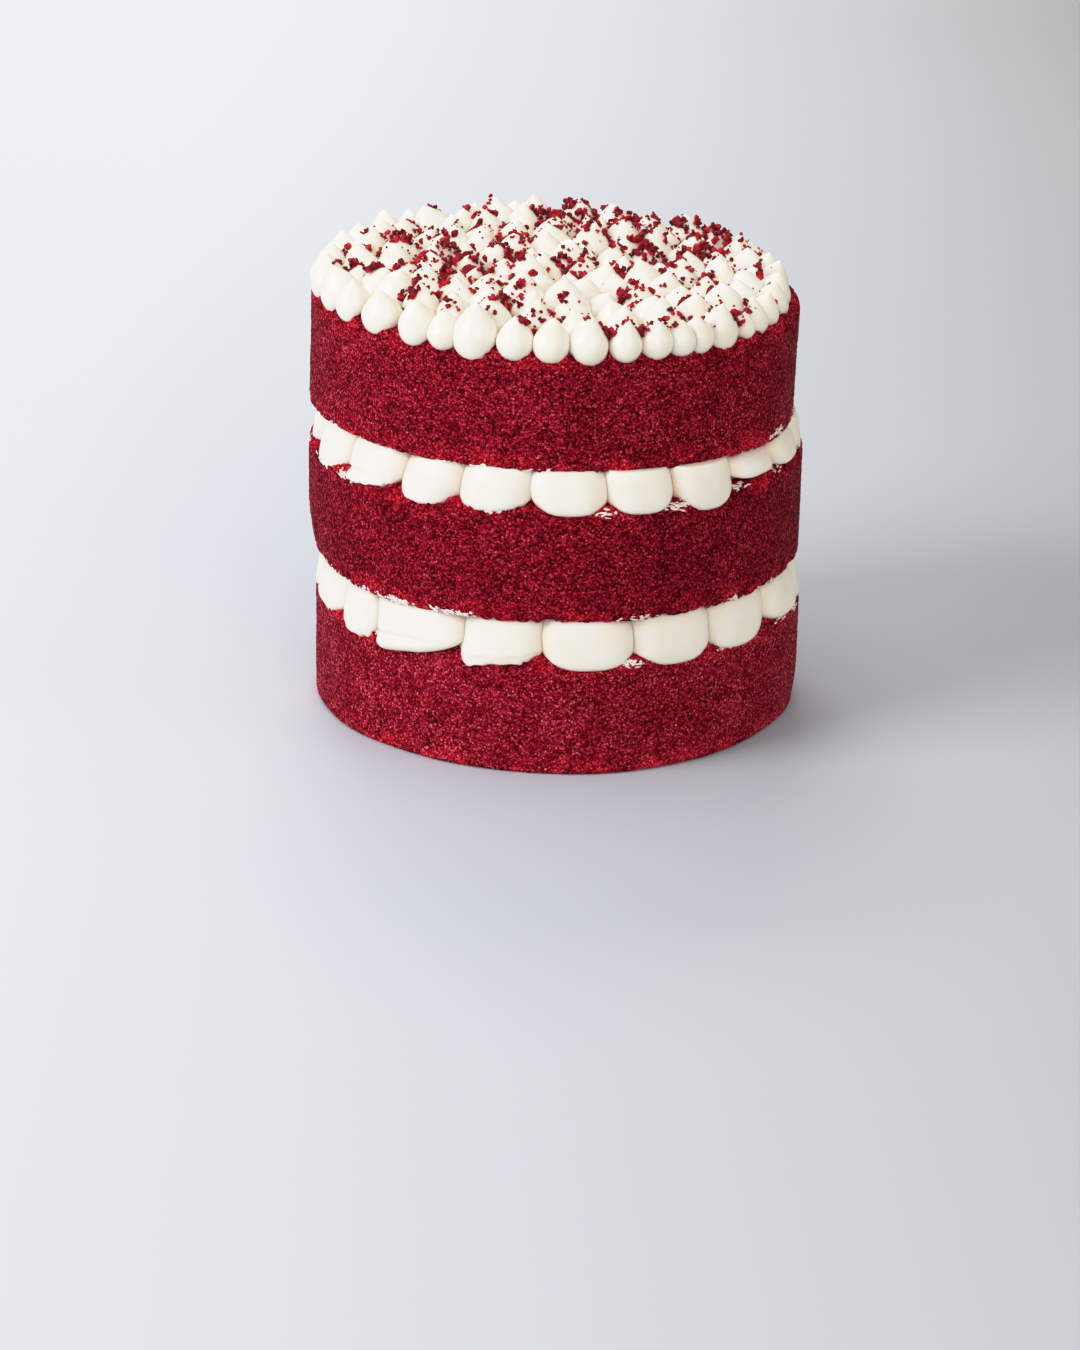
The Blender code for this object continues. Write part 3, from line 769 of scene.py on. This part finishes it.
def drop_places():
    """Every drop of the top, the rim first, drawn in the same order as for the solids."""
    draw = random.Random(DROP_SEED)
    rim = list(RIM_DROPS)
    back_step = (BACK_RIM_END - BACK_RIM_START) / (BACK_RIM_DROPS - 1)
    for k in range(BACK_RIM_DROPS):
        rim.append((BACK_RIM_START + back_step * k + draw.uniform(-1.2, 1.2), draw.uniform(13.5, 17.5)))
    drops = []
    for angle, width_mm in rim:
        width = width_mm / 1000
        inset = RIM_DRAWN_IN * max(0.0, math.sin(math.radians(angle))) ** 4
        place = spot_on_ring(TOP_SPONGE.radius + RIM_REACH - inset - width / 2, angle)
        place += Vector((*RIM_SHIFT, TOP_SPONGE.height + RIM_RISE))
        height = width * draw.uniform(1.15, 1.35)
        sideways = spot_on_ring(1.0, angle + 90 + draw.uniform(-25, 25))
        drops.append(Drop(place, width, height, sideways, draw.uniform(0.3, 1.2) * RIM_LEAN, True))
    for ring_radius, count, usual_width in INNER_RINGS:
        start = draw.uniform(0, 360)
        for k in range(count):
            ring_angle = start + 360 * k / count + draw.uniform(-20, 20) / count
            place = spot_on_ring(ring_radius + draw.uniform(-0.002, 0.002), ring_angle)
            width = usual_width * draw.uniform(0.78, 1.16)
            place.z = TOP_SPONGE.height + INNER_RISE + draw.uniform(-0.001, 0.001)
            height = width * draw.uniform(1.05, 1.35)
            axis = spot_on_ring(1.0, draw.uniform(0, 360))
            drops.append(Drop(place, width, height, axis, draw.uniform(0, 16), False))
    return drops


DROPS = drop_places()
print(len(DROPS), "drops,", sum(drop.on_rim for drop in DROPS), "of them on the rim")

# %% [markdown]
# No two piped drops are alike. Each one gets a slightly oval foot, faint streaks from the nozzle
# and a tip that is swept over to one side, all by small random amounts.

# %% The drops as surfaces
DROP_ROWS = 22
DROP_COLUMNS = 28
DROP_SHARPNESS = (1.05, 1.55)
DROP_FOOT_PART = 0.36


def drop_outline(share, radius, height, sharpness):
    """share runs from the tip (0) to the foot (1). Returns radius and height over the belly."""
    belly = DROP_BELLY * height
    above_foot = 1 - DROP_FOOT_PART
    t = np.clip(1 - share / above_foot, 0, 1)
    dip = np.clip((share - above_foot) / DROP_FOOT_PART, 0, 1) * np.pi / 2
    upper = share < above_foot
    reach = np.where(upper, (1 - t * t) ** sharpness, np.cos(dip))
    level = np.where(upper, (height - belly) * t, -belly * np.sin(dip))
    return radius * reach, level


def drop_shape(drop, rng):
    """One drop: its outline turned about its axis, with faint streaks, and its tip swept over to one side."""
    share = np.arange(1, DROP_ROWS + 1) / (DROP_ROWS + 1)
    share = np.concatenate([[0.0], share, [1.0]]) ** 1.15
    turn = 2 * np.pi * np.arange(DROP_COLUMNS) / DROP_COLUMNS
    radius, level = drop_outline(share, drop.width / 2, drop.height, rng.uniform(*DROP_SHARPNESS))
    streak_a, streak_b, oval_turn, sweep_turn = rng.uniform(0, 2 * np.pi, 4)
    streaks = 0.010 * np.sin(9 * turn + streak_a) + 0.008 * np.sin(14 * turn + streak_b)
    oval = 0.04 * np.cos(2 * (turn - oval_turn))
    ring = radius[:, None] * (1 + oval + streaks * np.sin(np.pi * np.clip(share, 0, 1))[:, None])
    rise = np.clip(level / (drop.height * (1 - DROP_BELLY)), 0, 1)
    sweep = drop.width * rng.uniform(0.02, 0.16) * rise ** 2.6
    curl = drop.height * rng.uniform(0.0, 0.07) * np.clip((rise - 0.7) / 0.3, 0, 1) ** 2
    points = np.stack([
        ring * np.cos(turn) + (sweep * np.cos(sweep_turn))[:, None],
        ring * np.sin(turn) + (sweep * np.sin(sweep_turn))[:, None],
        np.broadcast_to((level - curl)[:, None], ring.shape),
    ], axis=-1)
    leaning = Matrix.Rotation(math.radians(drop.lean), 4, drop.axis)
    points = moved(seat(TOP_SPONGE) @ Matrix.Translation(drop.place) @ leaning, points)
    return points[1:-1], points[0].mean(0), points[-1].mean(0)


def make_drops(name, drops, seed):
    """A group of drops as one mesh, each drop closed in itself."""
    rng = np.random.default_rng(seed)
    shapes, tops, bottoms = zip(*[drop_shape(drop, rng) for drop in drops])
    piece = add_closed(name, np.array(shapes), np.array(tops), np.array(bottoms))
    piece.data.materials.append(topping_cream)
    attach(piece, "root")
    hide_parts("topping")
    return piece


rim_drops = make_drops("rim_drops", [drop for drop in DROPS if drop.on_rim], 3)
inner_drops = make_drops("inner_drops", [drop for drop in DROPS if not drop.on_rim], 4)

# %% [markdown]
# The drops don't touch everywhere. A thin bed of cream under them closes the gaps, so no sponge shows there.

# %% The bed of cream under the drops
BED_ROWS = (30, 60, 75, 84, 90)
BED_COLUMNS = 160


def make_bed():
    """A thin disc: rings on its uneven top, one at its lower edge."""
    angle = 2 * np.pi * np.arange(BED_COLUMNS) / BED_COLUMNS
    out = np.stack([np.sin(angle), -np.cos(angle), np.zeros(BED_COLUMNS)], axis=-1)
    top = TOP_SPONGE.height + CREAM_BED_DEPTH
    rings = [out * (row * MM) + np.array([0, 0, top]) for row in BED_ROWS]
    rings.append(out * CREAM_BED_RADIUS + np.array([0, 0, TOP_SPONGE.height]))
    rings = np.array(rings)
    rings[:-1, :, 2] += 0.4 * MM * value_noise(rings[:-1], 7 * MM, 77)
    ends = moved(seat(TOP_SPONGE), np.array([[0, 0, top], [0, 0, TOP_SPONGE.height]]))
    piece = add_closed("cream_bed", moved(seat(TOP_SPONGE), rings)[None], ends[:1], ends[1:])
    piece.data.materials.append(topping_cream)
    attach(piece, "root")
    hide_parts("topping")
    return piece


bed = make_bed()

# %% [markdown]
# Cake crumbs were rubbed over the top by hand. Most lie in the valleys between drops, some stick to a flank,
# and few reach the left edge. The heaps in front have places of their own, and the others fall at random.
# A ray dropped straight down finds the cream under each crumb, so every one of them sits on something.
# A crumb is a small globe with each point pushed in or out at random, left unsmoothed so that it looks torn.

# %% Scattered crumbs
CRUMB_FIELD = 0.0900
CRUMB_LIMIT = 0.0960
CRUMB_SIZES = ((1000, 0.35, 0.75), (600, 0.8, 1.5), (590, 1.5, 2.3), (160, 2.3, 3.1))
CLUSTERS = 150
CLUSTER_SPREAD = 4.2 * MM
LUMPY_FROM = 0.75 * MM
ROLL_STEP = 1.6 * MM
RAY_HEIGHT = 0.1
ROLL_CHANCE = 0.35
LUMP_SIZES = (0.40, 0.70)
CRUMB_TONES = [(0.34, "#4c0713"), (0.46, "#820a20"), (0.56, "#a90e27"), (0.68, "#cf1b33")]
# The front heaps can be told apart, so each has a place of its own, in millimetres from the middle.
FRONT_HEAPS = (
    (-76, 9), (-67, 6), (-61, -25), (-56, -65), (-49, -35), (-45, -58), (-43, -32), (-40, -74), (-34, -22),
    (-28, -41), (-22, -68), (-18, -57), (-12, -84), (-10, -37), (-3, -70), (7, -73), (18, -95), (28, -90),
    (39, -86), (38, -38), (26, -44), (51, -55), (61, -36), (48, -72), (72, -58), (66, -66), (57, -20),
)
FRONT_FROM = -0.030
FRONT_SHARE = 0.3
BIG_CRUMB_SPOT = (0.017, 0.026)
BIG_CRUMB_RADIUS = 3.6 * MM


def crumb_material():
    """Torn crumb: brighter where the inside shows, nearly black-red where the baked outside shows."""
    material, tree, shader, place = new_material("torn_red_velvet_crumb")
    whole = add_node(tree, "ShaderNodeTexNoise", values={"Scale": 1 / (2.5 * MM), "Detail": 1.0},
                     links={"Vector": (place, "Object")})
    colour = add_node(tree, "ShaderNodeValToRGB", links={"Fac": (whole, "Fac")}, stops=CRUMB_TONES)
    tree.links.new(colour.outputs["Color"], shader.inputs["Base Color"])
    shader.inputs["Roughness"].default_value = 0.75
    shader.inputs["Specular IOR Level"].default_value = 0.3
    return material


def crumb_surface():
    """All the cream of the top as one ray target."""
    vertices, faces = [], []
    for piece in (rim_drops, inner_drops, bed):
        start = len(vertices)
        vertices.extend(vertex.co.copy() for vertex in piece.data.vertices)
        faces.extend(tuple(start + index for index in face.vertices) for face in piece.data.polygons)
    return BVHTree.FromPolygons(vertices, faces)


def crumb_spots(rng):
    """Random clusters thin out to the rim, the left and the front, and crumbs scatter round all of them."""
    centres = [(x * MM, y * MM) for x, y in FRONT_HEAPS]
    while len(centres) < CLUSTERS:
        x, y = rng.uniform(-CRUMB_FIELD, CRUMB_FIELD, 2)
        out = math.hypot(x, y) / CRUMB_FIELD
        chance = (1 - 0.35 * out ** 2) * (0.72 + 0.28 * (x + 0.5 * y) / CRUMB_FIELD)
        if y < FRONT_FROM:
            chance *= FRONT_SHARE
        if out < 1.0 and rng.random() < chance:
            centres.append((x, y))
    total = sum(count for count, _, _ in CRUMB_SIZES)
    chosen = np.array(centres)[rng.integers(0, CLUSTERS, total)]
    spots = chosen + rng.normal(0, CLUSTER_SPREAD, (total, 2))
    reach = np.linalg.norm(spots, axis=1)
    spots = spots * np.minimum(1, CRUMB_LIMIT / reach)[:, None]
    spots[-1] = BIG_CRUMB_SPOT
    return spots


def rolled(surface, to_world, x, y, steps):
    """Where a crumb rests: each step takes it to the lowest of eight spots round it, if that is lower."""
    def height(spot):
        hit = surface.ray_cast(to_world @ Vector((*spot, RAY_HEIGHT)), Vector((0, 0, -1)))[0]
        return hit.z if hit else math.inf

    spot = (x, y)
    for _ in range(steps):
        around = [(spot[0] + ROLL_STEP * math.cos(k * math.pi / 4),
                   spot[1] + ROLL_STEP * math.sin(k * math.pi / 4)) for k in range(8)]
        spot = min([spot, *around], key=height)
    return spot


def make_crumbs():
    """Each crumb: ring points of a globe times a random stretch per axis and a random push per point."""
    rng = np.random.default_rng(12)
    surface = crumb_surface()
    unit = globe(3, 5)
    sizes = np.concatenate([rng.uniform(low, high, count) for count, low, high in CRUMB_SIZES]) * MM
    sizes[-1] = BIG_CRUMB_RADIUS
    cad_top = cad_box[1][2]
    shapes, all_ends = [], []
    to_world = seat(TOP_SPONGE)
    for (x, y), radius in zip(crumb_spots(rng), sizes):
        spot = rolled(surface, to_world, x, y, int(rng.random() < ROLL_CHANCE))
        start = to_world @ Vector((*spot, RAY_HEIGHT))
        hit, normal, _, _ = surface.ray_cast(start, Vector((0, 0, -1)))
        if hit is None:
            continue
        lumps = 1 if radius < LUMPY_FROM else int(rng.integers(3, 6))
        for _ in range(lumps):
            size = radius if lumps == 1 else radius * rng.uniform(*LUMP_SIZES)
            off = Vector(rng.normal(0, 0.45, 3)) * radius if lumps > 1 else Vector((0, 0, 0))
            off -= normal * min(0.0, off.dot(normal))
            stretch = rng.uniform(0.7, 1.15, 3)
            spin = Matrix.Rotation(rng.uniform(0, 2 * np.pi), 4, Vector(rng.normal(0, 1, 3)).normalized())
            matrix = Matrix.Translation(hit + off + normal * size * 0.35) @ spin
            body = unit * stretch * rng.uniform(0.55, 1.30, unit.shape[:2])[..., None] * size
            ends = POLES * stretch * rng.uniform(0.7, 1.1, (2, 1)) * size
            body, ends = moved(matrix, body), moved(matrix, ends)
            if max(body[..., 2].max(), ends[:, 2].max()) > cad_top:
                continue
            shapes.append(body)
            all_ends.append(ends)
    all_ends = np.array(all_ends)
    piece = add_closed("scattered_crumbs", np.array(shapes), all_ends[:, 0], all_ends[:, 1], smooth=False)
    piece.data.materials.append(crumb_material())
    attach(piece, "root")
    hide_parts("topping")


make_crumbs()

# %% [markdown]
# The studio is a pale sweep: a floor that curves up into a wall behind, so no horizon shows.

# %% Floor and backdrop
SWEEP_WIDTH = 6.0
SWEEP_FRONT = -3.0
SWEEP_BACK = 2.2
SWEEP_BEND = 0.8
SWEEP_TOP = 3.0


def make_sweep():
    """A profile along Y and Z (flat, quarter circle, upright) carried straight along X."""
    bend = np.linspace(0, np.pi / 2, 24)
    backwards = SWEEP_BACK - SWEEP_BEND + SWEEP_BEND * np.sin(bend)
    profile = np.concatenate([
        [[SWEEP_FRONT, 0.0]],
        np.stack([backwards, SWEEP_BEND * (1 - np.cos(bend))], axis=-1),
        [[SWEEP_BACK, SWEEP_TOP]],
    ])
    sides = np.array([-SWEEP_WIDTH / 2, SWEEP_WIDTH / 2])
    points = [(x, y, z) for y, z in profile for x in sides]
    faces = [(2 * k, 2 * k + 1, 2 * k + 3, 2 * k + 2) for k in range(len(profile) - 1)]
    mesh = bpy.data.meshes.new("sweep")
    mesh.from_pydata(points, [], faces)
    mesh.shade_smooth()
    sweep = bpy.data.objects.new("sweep", mesh)
    bpy.context.scene.collection.objects.link(sweep)
    material, tree, shader, place = new_material("matt_backdrop_paper")
    # Painted light: the paper is lighter and bluer at the left and darker grey at the right, as light falls
    # from the left.
    fade = add_node(tree, "ShaderNodeSeparateXYZ", links={"Vector": (place, "Object")})
    painted_falloff = add_node(tree, "ShaderNodeMapRange", values={"From Min": -0.25, "From Max": 0.45},
                      links={"Value": (fade, "X")})
    colour = add_node(tree, "ShaderNodeValToRGB", links={"Fac": (painted_falloff, "Result")},
                      stops=[(0.0, "#d2d9e6"), (1.0, "#9fa1a0")])
    tree.links.new(colour.outputs["Color"], shader.inputs["Base Color"])
    shader.inputs["Roughness"].default_value = 0.9
    mesh.materials.append(material)
    sweep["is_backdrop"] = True
    print("sweep of", len(faces), "strips")


make_sweep()

# %% [markdown]
# Large soft lights stand at the left and in front, and a weaker one at the right adds the small highlights.
# A light of its own brightens the sweep behind the cake.

# %% Lights
def add_area_light(name, place, target, size, watts, colour):
    """A square soft light at a place, turned to face a target."""
    light = bpy.data.lights.new(name, "AREA")
    light.shape = "SQUARE"
    light.size = size
    light.energy = watts
    light.color = linear(colour)[:3]
    lamp = bpy.data.objects.new(name, light)
    lamp.location = place
    lamp.rotation_euler = (Vector(target) - Vector(place)).to_track_quat("-Z", "Y").to_euler()
    bpy.context.scene.collection.objects.link(lamp)
    print(name, "gives", watts, "W")


CAKE_MIDDLE = (0.0, 0.0, 0.10)
add_area_light("left_softbox", (-1.6, -0.9, 1.2), CAKE_MIDDLE, 1.1, 27, "#ffffff")
add_area_light("front_softbox", (0.6, -2.2, 1.2), CAKE_MIDDLE, 1.0, 14, "#fff8f0")
add_area_light("right_strip", (1.3, -0.6, 0.8), CAKE_MIDDLE, 0.4, 1.6, "#ffffff")
add_area_light("top_softbox", (-0.2, 0.3, 2.0), CAKE_MIDDLE, 1.2, 5, "#ffffff")
add_area_light("backdrop_light", (-0.2, 1.5, 1.6), (-0.1, 1.5, 0.0), 0.9, 17, "#fffaf2")
world = bpy.data.worlds.new("studio_air")
bpy.context.scene.world = world
world.use_nodes = True
world.node_tree.nodes["Background"].inputs["Color"].default_value = linear("#f2f2f0")
world.node_tree.nodes["Background"].inputs["Strength"].default_value = 0.45

# %% [markdown]
# A camera squeezes bright light instead of cutting it off, so white cream keeps its form beside dark sponge.
# A curve over the light values does the same: dark and middle values stay, and those near white bend over.

# %% Tone curve
BRIGHTEST = 1.5
TONE_POINTS = ((0.28, 0.28), (0.60, 0.69), (0.80, 0.842), (1.00, 0.917))

view = bpy.context.scene.view_settings
view.view_transform = "Standard"
view.use_curve_mapping = True
tone_curve = view.curve_mapping
tone_curve.white_level = (BRIGHTEST, BRIGHTEST, BRIGHTEST)
for light_in, light_out in TONE_POINTS:
    tone_curve.curves[3].points.new(light_in / BRIGHTEST, light_out)
tone_curve.update()

# %% [markdown]
# The last step prints the sizes of the solids and of the finished model.

# %% Sizes and finish
visual_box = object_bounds()
sizes = {"cad": [list(corner) for corner in cad_box], "visual": [list(corner) for corner in visual_box]}
print("solids reach", sizes["cad"], "and the finished model", sizes["visual"])
